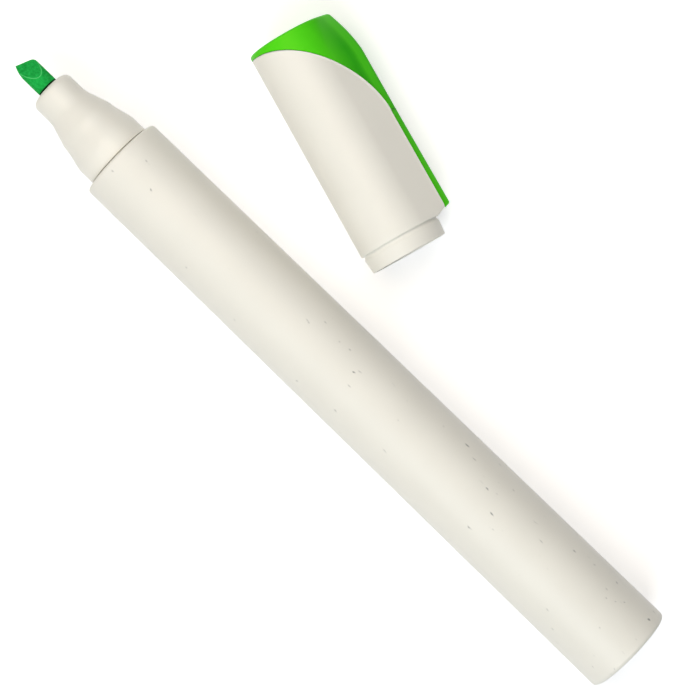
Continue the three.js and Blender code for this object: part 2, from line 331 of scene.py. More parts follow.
@dataclass(frozen=True)
class Scuffs:
    """Small grey marks from lying in a drawer and being handled."""

    colour: str = "8F8F8A"
    cell_mm: float = 1.25  # about one possible mark in a cell this wide
    size: float = 0.115  # radius of a mark, as a share of the cell
    stretch: float = 3.0  # how much longer than wide
    share: float = 0.6  # of the cells that hold a mark near the worn end
    core: float = 0.55  # the share of a mark's radius that is at full strength
    bend: float = 0.5  # how far a mark's outline wanders
    bend_scale: float = 3.0  # and how often

    def mask(
        self, tree: bpy.types.NodeTree, point: bpy.types.NodeSocket, lean: float,
        wear: bpy.types.NodeSocket,
    ) -> bpy.types.NodeSocket:
        """Marks that lean one way.

        Args:
            tree: where the nodes go.
            point: object coordinates.
            lean: the direction of the marks, in radians.
            wear: how worn the surface is, from 0 to 1.

        Returns:
            A mask that is 1 on a mark.
        """
        scale = per_metre(self.cell_mm)
        turn = add_node(
            tree, "ShaderNodeMapping",
            {"Rotation": (lean, lean / 2.0, lean), "Scale": (scale / self.stretch, scale, scale)},
            {"Vector": point},
        )
        warp = add_node(
            tree, "ShaderNodeTexNoise", {"Scale": self.bend_scale, "Detail": 2.0},
            {"Vector": turn.outputs[0]},
        )
        bent = add_node(
            tree, "ShaderNodeVectorMath", {"operation": "MULTIPLY_ADD", 1: (self.bend,) * 3},
            {0: warp.outputs["Color"], 2: turn.outputs[0]},
        )
        cells = add_node(
            tree, "ShaderNodeTexVoronoi", {"Scale": 1.0, "Randomness": 1.0},
            {"Vector": bent.outputs[0]},
        )
        spot = add_node(
            tree, "ShaderNodeMapRange",
            {"From Min": self.size, "From Max": self.size * self.core, "To Min": 0.0, "To Max": 1.0},
            {"Value": cells.outputs["Distance"]},
        )
        chance = add_node(
            tree, "ShaderNodeMath", {"operation": "MULTIPLY", 1: self.share}, {0: wear}
        )
        parts = add_node(tree, "ShaderNodeSeparateColor", {}, {0: cells.outputs["Color"]})
        chosen = add_node(
            tree, "ShaderNodeMath", {"operation": "LESS_THAN"},
            {0: parts.outputs[0], 1: chance.outputs[0]},
        )
        faint = add_node(
            tree, "ShaderNodeMath", {"operation": "MULTIPLY"},
            {0: chosen.outputs[0], 1: parts.outputs[1]},
        )
        return add_node(
            tree, "ShaderNodeMath", {"operation": "MULTIPLY"},
            {0: faint.outputs[0], 1: spot.outputs[0]},
        ).outputs[0]


@dataclass(frozen=True)
class MouldedPlastic:
    """Injection-moulded polyolefin: its skin is faintly grained by the tool's surface."""

    name: str
    colour: str
    shade: str  # the colour of the slow, faint clouding
    roughness: float
    grain_mm: float = 0.35
    grain_depth_mm: float = 0.004
    cloud_mm: float = 9.0
    gloss: float = 0.5  # the shader's specular level
    gloss_tint: str = "FFFFFF"
    deep: str | None = None  # the colour of the painted shade along the crown's ridge, laid on where its vertex attribute asks
    scuffs: Scuffs | None = None
    worn_from: float = 0.0  # where along x, in metres, the wear starts
    worn_to: float = 1.0
    least_wear: float = 0.05  # how worn the fresh end is
    scuff_leans: tuple[float, float] = (0.6, 2.1)  # in radians
    cloud_from: float = 0.35  # where on the noise the shade starts to show
    cloud_to: float = 0.65
    uneven: float = 0.05  # how far the roughness varies with the grain
    refraction: float = 1.49

    def material(self) -> bpy.types.Material:
        """Builds the material.

        Returns:
            The material.
        """
        material, tree = new_tree(self.name)
        point = add_node(tree, "ShaderNodeTexCoord").outputs["Object"]
        cloud = add_node(
            tree, "ShaderNodeTexNoise", {"Scale": per_metre(self.cloud_mm), "Detail": 3.0},
            {"Vector": point},
        )
        share = add_node(
            tree, "ShaderNodeMapRange", {"From Min": self.cloud_from, "From Max": self.cloud_to},
            {"Value": cloud.outputs["Fac"]},
        )
        tint = add_node(
            tree, "ShaderNodeMix",
            {"data_type": "RGBA", 6: linear_colour(self.colour), 7: linear_colour(self.shade)},
            {0: share.outputs[0]},
        ).outputs[2]
        grain = add_node(
            tree, "ShaderNodeTexNoise", {"Scale": per_metre(self.grain_mm), "Detail": 2.0},
            {"Vector": point},
        )
        rough = add_node(
            tree, "ShaderNodeMapRange",
            {"To Min": self.roughness - self.uneven, "To Max": self.roughness + self.uneven},
            {"Value": grain.outputs["Fac"]},
        ).outputs[0]
        if self.scuffs is not None:
            tint = self.scuffed(tree, point, tint)
        # painted shade: a darker green laid over the colour, as much as the mesh's attribute asks
        if self.deep is not None:
            depth = add_node(tree, "ShaderNodeAttribute", {"attribute_name": PAINTED_SHADE})
            tint = add_node(
                tree, "ShaderNodeMix", {"data_type": "RGBA", 7: linear_colour(self.deep)},
                {0: depth.outputs["Fac"], 6: tint},
            ).outputs[2]
        bump = add_node(
            tree, "ShaderNodeBump",
            {"Strength": 1.0, "Distance": self.grain_depth_mm * METRES},
            {"Height": grain.outputs["Fac"]},
        )
        shader = add_node(
            tree, "ShaderNodeBsdfPrincipled",
            {
                "IOR": self.refraction, "Specular IOR Level": self.gloss,
                "Specular Tint": linear_colour(self.gloss_tint),
            },
            {"Base Color": tint, "Roughness": rough, "Normal": bump.outputs[0]},
        )
        add_node(tree, "ShaderNodeOutputMaterial", {}, {"Surface": shader.outputs[0]})
        return material

    def scuffed(
        self, tree: bpy.types.NodeTree, point: bpy.types.NodeSocket, tint: bpy.types.NodeSocket
    ) -> bpy.types.NodeSocket:
        """Adds the scuffs, more of them towards the worn end.

        Args:
            tree: where the nodes go.
            point: object coordinates.
            tint: the clean colour.

        Returns:
            The colour with its marks.
        """
        axis = add_node(tree, "ShaderNodeSeparateXYZ", {}, {0: point})
        wear = add_node(
            tree, "ShaderNodeMapRange",
            {
                "From Min": self.worn_from, "From Max": self.worn_to,
                "To Min": self.least_wear, "To Max": 1.0,
            },
            {"Value": axis.outputs[0]},
        ).outputs[0]
        first, second = (self.scuffs.mask(tree, point, lean, wear) for lean in self.scuff_leans)
        marks = add_node(
            tree, "ShaderNodeMath", {"operation": "MAXIMUM"}, {0: first, 1: second}
        )
        return add_node(
            tree, "ShaderNodeMix",
            {"data_type": "RGBA", 7: linear_colour(self.scuffs.colour)},
            {0: marks.outputs[0], 6: tint},
        ).outputs[2]


@dataclass(frozen=True)
class BondedFibre:
    """Polyester fibre bonded into a firm rod and soaked with ink: matt, with a lengthwise nap."""

    name: str
    colour: str
    light: str  # where the fibres stand up
    rubbed_and_highlit: str = "4FD070"  # where an edge is thinned by wear, and a painted highlight along it
    painted_entry_shadow: str = "04220E"  # painted shadow, nearly black, where the nib enters the nose
    fibre_mm: float = 0.14  # far wider than one fibre, so that the nap shows
    blotch_mm: float = 0.55
    length_ratio: float = 5.0
    nap_share: float = 0.45  # how much the nap adds to the blotches
    light_from: float = 0.5  # where on their sum the light colour starts to show
    light_to: float = 0.95
    nap_depth_mm: float = 0.06
    roughness: float = 0.95
    refraction: float = 1.45
    gloss: float = 0.2

    def material(self) -> bpy.types.Material:
        """Builds the material.

        Returns:
            The material.
        """
        material, tree = new_tree(self.name)
        point = add_node(tree, "ShaderNodeTexCoord").outputs["Object"]
        along = add_node(
            tree, "ShaderNodeMapping", {"Scale": (1.0 / self.length_ratio, 1.0, 1.0)},
            {"Vector": point},
        )
        nap = add_node(
            tree, "ShaderNodeTexNoise", {"Scale": per_metre(self.fibre_mm), "Detail": 3.0},
            {"Vector": along.outputs[0]},
        )
        blotch = add_node(
            tree, "ShaderNodeTexNoise",
            {"Scale": per_metre(self.blotch_mm), "Detail": 4.0, "Roughness": 0.7},
            {"Vector": point},
        )
        both = add_node(
            tree, "ShaderNodeMath", {"operation": "MULTIPLY_ADD", 1: self.nap_share},
            {0: nap.outputs["Fac"], 2: blotch.outputs["Fac"]},
        )
        share = add_node(
            tree, "ShaderNodeMapRange", {"From Min": self.light_from, "From Max": self.light_to},
            {"Value": both.outputs[0]},
        )
        tint = add_node(
            tree, "ShaderNodeMix",
            {"data_type": "RGBA", 6: linear_colour(self.colour), 7: linear_colour(self.light)},
            {0: share.outputs[0]},
        )
        # paler edges, partly wear and partly a painted highlight, then a nearly black painted shadow
        # where the nib enters the nose
        for name, colour in ((WORN_AND_HIGHLIT, self.rubbed_and_highlit), (PAINTED_ENTRY_SHADOW, self.painted_entry_shadow)):
            marked = add_node(tree, "ShaderNodeAttribute", {"attribute_name": name})
            tint = add_node(
                tree, "ShaderNodeMix", {"data_type": "RGBA", 7: linear_colour(colour)},
                {0: marked.outputs["Fac"], 6: tint.outputs[2]},
            )
        bump = add_node(
            tree, "ShaderNodeBump",
            {"Strength": 1.0, "Distance": self.nap_depth_mm * METRES},
            {"Height": both.outputs[0]},
        )
        shader = add_node(
            tree, "ShaderNodeBsdfPrincipled",
            {
                "Roughness": self.roughness, "IOR": self.refraction,
                "Specular IOR Level": self.gloss,
            },
            {"Base Color": tint.outputs[2], "Normal": bump.outputs[0]},
        )
        add_node(tree, "ShaderNodeOutputMaterial", {}, {"Surface": shader.outputs[0]})
        return material


# Satin polypropylene: a warm white skin that spreads the light broadly, with a few grey marks.
BARREL_PLASTIC = MouldedPlastic(
    "satin_moulded_polypropylene_barrel", "F2F0E6", "F0EEE4", 0.46,
    scuffs=Scuffs(), worn_from=-0.03, worn_to=0.05,
)
CAP_PLASTIC = MouldedPlastic("satin_moulded_polypropylene_cap", "F3F1E7", "F1EFE5", 0.46)
# The nose is smoother and a little clearer than the barrel.
NOSE_PLASTIC = MouldedPlastic(
    "smooth_moulded_polypropylene_nose", "F3F1E7", "F1EFE5", 0.38, grain_depth_mm=0.002
)
# The seal is a cooler, slightly waxy white, which the eye meets only inside the cap's mouth.
SEAL_PLASTIC = MouldedPlastic(
    "smooth_moulded_polyethylene_seal", "F1F0E9", "ECECE6", 0.34, grain_depth_mm=0.002
)
# Bright green polypropylene with a soft gloss, and painted shade, a darker green, along its ridge.
CROWN_PLASTIC = MouldedPlastic(
    "glossy_moulded_polypropylene_green", "54DE1E", "4ED91A", 0.36, grain_depth_mm=0.002,
    gloss=0.15, gloss_tint="FFFF8C", deep="17AA00",
)
# Felt wet with green ink: matt and mottled, paler along its rounded edges, partly from wear and
# partly as a painted highlight, with a nearly black painted shadow where it enters the nose.
NIB_FELT = BondedFibre("bonded_polyester_felt_green", "0A9335", "26C456")
# The ink store is coarser and paler than the nib, and its film is a plain pale skin.
RESERVOIR_FIBRE = BondedFibre("polyester_fibre_bundle_green", "2F9E4F", "63C081", fibre_mm=0.3)
RESERVOIR_FILM = MouldedPlastic(
    "clear_polypropylene_film", "DDE8E0", "D6E3DA", 0.2, grain_depth_mm=0.001
)


# ---- Marker --------------------------------------------------------------------------------------
@dataclass
class Barrel:
    """The tapered tube, open at the front and closed at the tail."""

    length: float = 114.3
    front_radius: float = 7.46
    tail_radius: float = 7.96
    bore_front: float = 6.3
    bore_tail: float = 6.81
    tail_wall: float = 1.5
    front_round: float = 0.5
    tail_round: float = 0.75
    mouth_round: float = 0.12
    bottom_round: float = 0.4
    nose_depth: float = 9.3
    steps: int = 192
    rows: int = 12

    def build(self, place: Place, finish: MouldedPlastic) -> bpy.types.Object:
        """Builds the barrel.

        Args:
            place: the marker's axes.
            finish: what it is made of.

        Returns:
            The object.
        """
        inside = self.length - self.tail_wall
        outline = [
            Knot(inside, 0.0),
            Knot(inside, self.bore_tail, self.bottom_round),
            Knot(self.nose_depth, self.bore_front),
            Knot(0.0, self.bore_front, self.mouth_round),
            Knot(0.0, self.front_radius, self.front_round, self.rows),
            Knot(self.length, self.tail_radius, self.tail_round),
            Knot(self.length, 0.0),
        ]
        mesh = turned(outline, self.steps, closed=False)
        return Piece(
            "barrel_tube", mesh, place, finish.material(), Body.MARKER, Slot.BARREL, ("barrel",)
        ).make()


@dataclass
class NoseSection:
    """The stepped nose that grips the nib, with its spigot inside the barrel."""

    length: float = 16.0
    base_length: float = 3.3
    base_radius: float = 6.05
    step_length: float = 2.9
    land_radius: float = 5.3
    land_length: float = 1.4
    land_draft: float = 0.17
    cone_length: float = 4.0
    tip_radius: float = 3.82
    tip_round: float = 1.15
    nib_bore: float = 1.9
    entry_flare: float = 0.24
    entry_depth: float = 0.7
    entry_land: float = 1.0
    spigot_length: float = 9.0
    spigot_radius: float = 6.25
    spigot_wall: float = 1.1
    throat: float = 7.0
    groove_depth: float = 0.3  # the shadow line in front of the barrel
    groove_length: float = 0.25
    groove_end: float = 0.9
    groove_round: float = 0.05
    cone_round: float = 0.9
    land_round: float = 0.55
    step_round: float = 0.45
    base_round: float = 0.6
    spigot_round: float = 0.3
    chamber_round: float = 0.2
    throat_round: float = 0.5
    steps: int = 160

    def build(self, place: Place, finish: MouldedPlastic) -> bpy.types.Object:
        """Builds the nose section.

        Args:
            place: the marker's axes.
            finish: what it is made of.

        Returns:
            The object.
        """
        step_end = -self.base_length - self.step_length
        land_end = step_end - self.land_length
        tip_start = land_end - self.cone_length
        chamber = self.spigot_radius - self.spigot_wall
        throat_end = self.throat - self.length
        groove = self.base_radius - self.groove_depth
        outline = [
            Knot(-self.length + self.entry_land, self.nib_bore),
            Knot(-self.length + self.entry_depth, self.nib_bore),
            Knot(-self.length, self.nib_bore + self.entry_flare),
            Knot(-self.length, self.tip_radius, self.tip_round),
            Knot(tip_start, self.tip_radius, self.cone_round),
            Knot(land_end, self.land_radius - self.land_draft, self.land_round),
            Knot(step_end, self.land_radius, self.step_round),
            Knot(-self.base_length, self.base_radius, self.base_round),
            Knot(-self.groove_length, self.base_radius, self.groove_round),
            Knot(-self.groove_length, groove),
            Knot(self.groove_end, groove),
            Knot(self.groove_end, self.spigot_radius),
            Knot(self.spigot_length, self.spigot_radius, self.spigot_round),
            Knot(self.spigot_length, chamber, self.chamber_round),
            Knot(-self.base_length, chamber, self.throat_round),
            Knot(throat_end, self.nib_bore + self.spigot_wall),
            Knot(throat_end, self.nib_bore),
        ]
        mesh = turned(outline, self.steps, round_steps=8)
        return Piece(
            "nose_section_shell", mesh, place, finish.material(), Body.MARKER, Slot.NOSE,
            ("nose_section",),
        ).make()


@dataclass
class Nib:
    """The felt rod with its slanted chisel edge."""

    radius: float = 1.85
    nose_length: float = 16.0
    protrusion: float = 6.75
    tail: float = 21.3
    half_angle: float = math.radians(28.0)
    slant: float = math.radians(23.0)
    blunt: float = 0.12
    corner: float = 0.7
    lead_inset: float = 0.64
    lead_length: float = 2.6
    lead_bow: float = 0.6
    curve_cuts: int = 5
    edge_round: float = 0.09
    painted_shadow_length: float = 0.42
    sharp_angle: float = math.radians(14.0)
    steps: int = 96

    def build(self, place: Place, finish: BondedFibre) -> bpy.types.Object:
        """Builds the nib: a rod, trimmed to the chisel's outline and then by its two facets.

        Args:
            place: the marker's axes.
            finish: what it is made of.

        Returns:
            The object.
        """
        tip = -self.nose_length - self.protrusion
        mesh = bmesh.new()
        bmesh.ops.create_cone(
            mesh, cap_ends=True, segments=self.steps, radius1=self.radius, radius2=self.radius,
            depth=self.tail - tip,
        )
        turn = Matrix.Rotation(math.pi / 2.0, 4, "Y")
        bmesh.ops.transform(mesh, matrix=turn, verts=mesh.verts)
        bmesh.ops.translate(mesh, vec=((self.tail + tip) / 2.0, 0.0, 0.0), verts=mesh.verts)
        middle = Vector((tip + self.radius * math.tan(self.slant), 0.0, 0.0))
        lean = Matrix.Rotation(-self.slant, 3, "Z")
        outline = self.plan()
        for first, second in zip(outline, outline[1:]):
            run = second - first
            self.trim(mesh, middle + first, Vector((-run.y, run.x, 0.0)).normalized())
        for side in (1.0, -1.0):
            up = Vector((-math.sin(self.half_angle), 0.0, side * math.cos(self.half_angle)))
            self.trim(mesh, middle + lean @ Vector((-self.blunt, 0.0, 0.0)), lean @ up)
        # a ring of painted shadow where the nib enters the nose
        ring = (-self.nose_length - self.painted_shadow_length, -self.nose_length)
        for x in ring:
            everything = list(mesh.verts) + list(mesh.edges) + list(mesh.faces)
            bmesh.ops.bisect_plane(
                mesh, geom=everything, dist=WELD, plane_co=(x, 0.0, 0.0), plane_no=(1.0, 0.0, 0.0)
            )
        worn_and_highlit = mesh.faces.layers.float.new(WORN_AND_HIGHLIT)
        painted_entry_shadow = mesh.faces.layers.float.new(PAINTED_ENTRY_SHADOW)
        sharp = [e for e in mesh.edges if e.calc_face_angle(0.0) > self.sharp_angle]
        rounded = bmesh.ops.bevel(
            mesh, geom=sharp, offset=self.edge_round, offset_type="OFFSET", segments=2,
            profile=0.5, affect="EDGES", material=-1,
        )
        # the rounded edges are painted paler: partly wear, partly a painted highlight
        for face in rounded["faces"]:
            face[worn_and_highlit] = 1.0
        for face in mesh.faces:
            if ring[0] < face.calc_center_median().x < ring[1]:
                face[painted_entry_shadow] = 1.0
        return Piece(
            "nib_felt_chisel", mesh, place, finish.material(), Body.MARKER, Slot.FELT, ("nib",)
        ).make()

    def plan(self) -> list[Vector]:
        """The point seen from above, around the middle of its edge, from the leading side on.

        Returns:
            The corners of the outline, in order.
        """
        along = Vector((math.sin(self.slant), math.cos(self.slant), 0.0)) / math.cos(self.slant)
        lead = -along * (self.radius - self.lead_inset)
        side = Vector((lead.x + self.lead_length, -self.radius, 0.0))
        bow = Vector((lead.x + self.lead_length * self.lead_bow, -self.radius, 0.0))
        corner = along * self.radius
        before = corner - along.normalized() * self.corner
        after = corner + Vector((self.corner, 0.0, 0.0))
        return self.arc(side, bow, lead) + self.arc(before, corner, after)

    def arc(self, start: Vector, pull: Vector, end: Vector) -> list[Vector]:
        """Points on a curve from start to end, bent towards a third point.

        Args:
            start: the first point.
            pull: what the curve bends towards.
            end: the last point.

        Returns:
            The points, in order.
        """
        shares = [i / self.curve_cuts for i in range(self.curve_cuts + 1)]
        return [
            start * (1.0 - t) ** 2 + pull * (2.0 * t * (1.0 - t)) + end * t * t for t in shares
        ]

    def trim(self, mesh: bmesh.types.BMesh, point: Vector, normal: Vector) -> None:
        """Cuts off what lies beyond a plane and closes the cut.

        Args:
            mesh: the rod.
            point: a point on the plane.
            normal: points towards what is cut off.
        """
        everything = list(mesh.verts) + list(mesh.edges) + list(mesh.faces)
        cut = bmesh.ops.bisect_plane(
            mesh, geom=everything, dist=WELD, plane_co=point, plane_no=normal, clear_outer=True
        )
        rim = [g for g in cut["geom_cut"] if isinstance(g, bmesh.types.BMEdge)]
        if rim:
            bmesh.ops.contextual_create(mesh, geom=rim)


# ---- Cap -----------------------------------------------------------------------------------------
@dataclass(eq=False)
class CapForm:
    """The outer form that the cap's shell, crown and clip share."""

    length: float = 40.35
    shell_length: float = 37.25
    mouth_radius: float = 7.12
    end_radius: float = 6.87
    bore: float = 6.2
    keel_face: float = 8.65
    keel_half_width: float = 2.2
    keel_edge: float = 0.12
    keel_corner_length: float = 0.6
    keel_corner_depth: float = 1.5
    crown_face: float = 9.62
    crown_end: float = 7.67
    crown_peak: float = 8.6
    crown_bulge: float = 0.6
    ridge_half_width: float = 0.5
    ridge_edge: float = 0.35
    # How much painted shade, a darker green, a place gets, by its depth below the ridge's top.
    # The stops are set for their look. They are not worked out from the wall's thickness.
    painted_shade_stops: tuple[tuple[float, float], ...] = (
        (-1.0, 0.8), (0.2, 0.55), (0.5, 0.32), (1.2, 0.32), (1.8, 0.8), (2.3, 0.9), (3.2, 0.65),
        (4.8, 0.2), (7.0, 0.0), (99.0, 0.0),
    )
    painted_shade_start: float = 0.4  # the share of that at the closed end
    painted_shade_growth: float = 0.1  # and how much it gains per millimetre
    painted_shade_end: float = 34.0  # where on the thin strip it is gone
    painted_shade_fade: float = 0.06  # and how much it loses per millimetre up to there
    sweep: tuple[tuple[float, float], ...] = (
        (0.95, -7.12), (0.7, -0.32), (9.6, 8.4), (18.7, 8.65)
    )
    sweep_steps: int = 600
    halvings: int = 24
    round_from: float = math.pi / 3.0  # beyond this angle from the keel the body is round
    # columns are closest where the ridge and the keel have their corners
    columns: tuple[tuple[float, float], ...] = (
        (0.0, 0.0), (20.0, 8.0), (68.0, 20.0), (108.0, 60.0), (180.0, 180.0)
    )

    def spread(self, angle: float) -> float:
        """Moves an even column to where it is needed."""
        return math.copysign(
            math.radians(between(self.columns, math.degrees(abs(angle)))), angle
        )

    def round_radius(self, x: float) -> float:
        """The radius of the round body at a place along the cap."""
        share = min(max(x / self.shell_length, 0.0), 1.0)
        return mix(self.end_radius, self.mouth_radius, share)

    @staticmethod
    def touch_angle(body: float, face: float, half_width: float) -> float:
        """The angle at which a flank leaves the round body for the corner of a narrow face."""
        corner = math.hypot(face, half_width)
        return math.acos(min(body / corner, 1.0)) + math.atan2(half_width, face)

    def flanked_radius(
        self, body: float, face: float, half_width: float, edge: float, angle: float
    ) -> float:
        """How far a round body with a flat-flanked keel reaches from the axis.

        Args:
            body: radius of the round body.
            face: height of the keel's face.
            half_width: half the width of that face.
            edge: how far the keel's corner is rounded.
            angle: from the keel's middle.

        Returns:
            The distance, on the face, on a flank or on the round body.
        """
        away = abs(angle)
        touch = self.touch_angle(body, face, half_width)
        flank = body / math.cos(max(touch - away, 0.0))
        if away > self.round_from:
            return flank
        return soft_min(face / math.cos(away), flank, edge)

    def shell_radius(self, x: float, angle: float) -> float:
        """How far the white shell's surface is from the axis."""
        return self.flanked_radius(
            self.round_radius(x), self.keel_face, self.keel_half_width, self.keel_edge, angle
        )

    def crown_radius(self, x: float, angle: float) -> float:
        """How far the green crown's surface is from the axis."""
        return self.flanked_radius(
            self.round_radius(x), self.crown_height(x), self.ridge_half_width, self.ridge_edge,
            angle,
        )

    def paint_ridge_shade(self, mesh: bmesh.types.BMesh) -> None:
        """Paints a band of deeper green along the ridge, alike on both of its flanks.

        The band stands in for shading that the shape doesn't give, so it is the same in any light.

        Args:
            mesh: the shaped crown or strip.
        """
        layer = mesh.verts.layers.float.new(PAINTED_SHADE)
        for vertex in mesh.verts:
            depth = self.crown_height(vertex.co.x) - vertex.co.y
            grown = min(self.painted_shade_start + vertex.co.x * self.painted_shade_growth, 1.0)
            grown *= min(max((self.painted_shade_end - vertex.co.x) * self.painted_shade_fade, 0.0), 1.0)
            vertex[layer] = between(self.painted_shade_stops, depth) * grown

    def crown_height(self, x: float) -> float:
        """The height of the crown's highest line, which climbs and then runs level.

        Args:
            x: place along the cap.

        Returns:
            The height above the axis.
        """
        if x >= self.crown_peak:
            return self.crown_face
        lead = self.crown_bulge * self.crown_peak
        square = self.crown_peak - 2.0 * lead
        t = (-lead + math.sqrt(lead * lead + square * max(x, 0.0))) / square
        return mix(self.crown_end, self.crown_face, 1.0 - (1.0 - t) ** 2)

    @functools.cached_property
    def sweep_line(self) -> list[tuple[float, float]]:
        """Heights above the axis and the places where the swept line crosses them."""
        places, heights = zip(*self.sweep)
        shares = [i / self.sweep_steps for i in range(self.sweep_steps + 1)]
        return [(self.curve(heights, t), self.curve(places, t)) for t in shares]

    @staticmethod
    def curve(values: Sequence[float], t: float) -> float:
        """A cubic curve's value."""
        start, first, second, end = values
        rest = 1.0 - t
        return (
            start * rest**3 + 3 * first * rest * rest * t + 3 * second * rest * t * t + end * t**3
        )

    def seam_x(self, height: float) -> float:
        """Where the line between white and green crosses a height above the axis.

        Args:
            height: above the axis.

        Returns:
            The place along the cap.
        """
        line = self.sweep_line
        index = min(max(bisect.bisect_left(line, (height,)), 1), len(line) - 1)
        (low, start), (high, end) = line[index - 1], line[index]
        return mix(start, end, min(max((height - low) / (high - low), 0.0), 1.0))

    def seam_on(self, surface: Callable[[float, float], float], angle: float) -> float:
        """Where the line between white and green crosses a surface at an angle.

        Args:
            surface: the surface's distance from the axis, by place and angle.
            angle: from the keel's middle.

        Returns:
            The place along the cap.
        """
        low, high = 0.0, self.sweep[-1][0]
        for _ in range(self.halvings):
            x = (low + high) / 2.0
            if self.seam_x(surface(x, angle) * math.cos(angle)) > x:
                low = x
            else:
                high = x
        return (low + high) / 2.0


@dataclass(eq=False)
class CapShell:
    """The white shell: bore, skirt, keel, and an outer surface that starts at the swept line."""

    form: CapForm = field(default_factory=CapForm)
    skirt_radius: float = 6.85
    skirt_taper: float = 0.22
    groove_depth: float = 0.3
    groove_length: float = 0.7
    skirt_round: float = 0.1
    seam: float = 0.02
    seam_round: float = 0.05
    lip_rise: float = 0.12
    lip_width: float = 0.28
    lip_clear: float = 1.6  # no lip this near to the keel's middle, where the strip lies
    lip_fade: float = 0.4
    end_round: float = 0.2
    mouth_round: float = 0.12
    steps: int = 360
    rows: int = 64

    def build(self, place: Place, finish: MouldedPlastic) -> bpy.types.Object:
        """Builds the shell from a plain turned tube that is then shaped.

        Args:
            place: the cap's axes.
            finish: what it is made of.

        Returns:
            The object.
        """
        form = self.form
        end = form.shell_length
        low = self.skirt_radius - self.groove_depth
        outline = [
            Knot(0.0, form.bore, 0.0, 6),
            Knot(0.0, form.mouth_radius, self.seam_round, self.rows),
            Knot(end, form.mouth_radius, self.end_round, 3),
            Knot(end, low),
            Knot(end + self.groove_length, self.skirt_radius, self.skirt_round, 3),
            Knot(form.length, self.skirt_radius - self.skirt_taper, self.mouth_round),
            Knot(form.length, form.bore, self.mouth_round, 12),
        ]
        mesh = reshaped(turned(outline, self.steps, round_steps=3), self.shape)
        return Piece(
            "cap_shell_keeled", mesh, place, finish.material(), Body.CAP, Slot.CAP, ("cap_shell",)
        ).make()

    def shape(self, spot: Spot) -> Spot:
        """Moves a point of the plain tube to the keeled and swept shell.

        Args:
            spot: where the point is.

        Returns:
            Where it goes.
        """
        form = self.form
        x, radius, angle = spot.x, spot.radius, form.spread(spot.angle)
        start = self.seam_start(round(angle, 6))
        depth = form.mouth_radius - radius
        if radius <= form.bore + WELD:
            place = mix(self.on_seam(radius, angle), form.length, x / form.length)
            return Spot(place, radius, angle)
        if x < WELD and depth > self.seam_round + WELD:
            share = (radius - form.bore) / (form.mouth_radius - form.bore)
            radius = mix(form.bore, form.shell_radius(start, angle), share)
            return Spot(self.on_seam(radius, angle), radius, angle)
        if x > form.shell_length + WELD or radius < self.skirt_radius + WELD:
            return Spot(x, radius, angle)
        if x < self.seam_round + WELD:
            place = start + x
            return Spot(place, self.lipped(place, x, angle) - depth, angle)
        outer = form.shell_radius(form.shell_length, angle)
        final = self.shell_end(angle, outer)
        if x < form.shell_length - self.end_round - WELD:
            place = mix(start, final, (x / form.shell_length) ** 2)
            return Spot(place, self.lipped(place, place - start, angle) - depth, angle)
        if x < form.shell_length - WELD:
            return Spot(final - (form.shell_length - x), outer - depth, angle)
        share = (radius - self.skirt_radius) / (form.mouth_radius - self.skirt_radius)
        radius = mix(self.skirt_radius, outer, share)
        return Spot(self.shell_end(angle, radius), radius, angle)

    def lipped(self, x: float, past_seam: float, angle: float) -> float:
        """The outer surface with its small raised lip along the seam and the keel's corner.

        Args:
            x: place along the cap.
            past_seam: how far beyond the swept line that is.
            angle: from the keel's middle.

        Returns:
            The distance from the axis.
        """
        form = self.form
        radius = form.shell_radius(x, angle)
        slope = self.seam_slope(round(angle, 6)) / radius
        away = past_seam / math.hypot(1.0, slope)
        body = form.round_radius(x)
        touch = form.touch_angle(body, form.keel_face, form.keel_half_width)
        corner = math.atan2(form.keel_half_width, form.keel_face)
        if corner < abs(angle) < touch:
            run = math.tan(touch - corner) - math.tan(touch - abs(angle))
            away = min(away, body * run)
        rise = max(1.0 - away / self.lip_width, 0.0)
        beside = radius * math.sin(abs(angle)) - self.lip_clear
        return radius + self.lip_rise * rise * min(max(beside / self.lip_fade, 0.0), 1.0)

    @functools.cache
    def seam_slope(self, angle: float) -> float:
        """How fast the seam runs along the cap as it goes around.

        Args:
            angle: from the keel's middle.

        Returns:
            Millimetres per radian.
        """
        step = 0.002
        ahead = self.seam_start(round(angle + step, 6))
        behind = self.seam_start(round(angle - step, 6))
        return (ahead - behind) / (2.0 * step)

    @functools.cache
    def seam_start(self, angle: float) -> float:
        """Where the outer surface starts at an angle."""
        return self.form.seam_on(self.form.shell_radius, angle) + self.seam

    def on_seam(self, radius: float, angle: float) -> float:
        """The place along the cap of a point on the swept cut."""
        return self.form.seam_x(radius * math.cos(angle)) + self.seam

    def shell_end(self, angle: float, radius: float) -> float:
        """The end of the shell, which slopes back over the keel.

        Args:
            angle: from the keel's middle.
            radius: distance from the axis.

        Returns:
            The place along the cap.
        """
        form = self.form
        low = form.keel_face - form.keel_corner_depth
        over = max(radius * math.cos(angle) - low, 0.0)
        return form.shell_length - over * form.keel_corner_length / form.keel_corner_depth


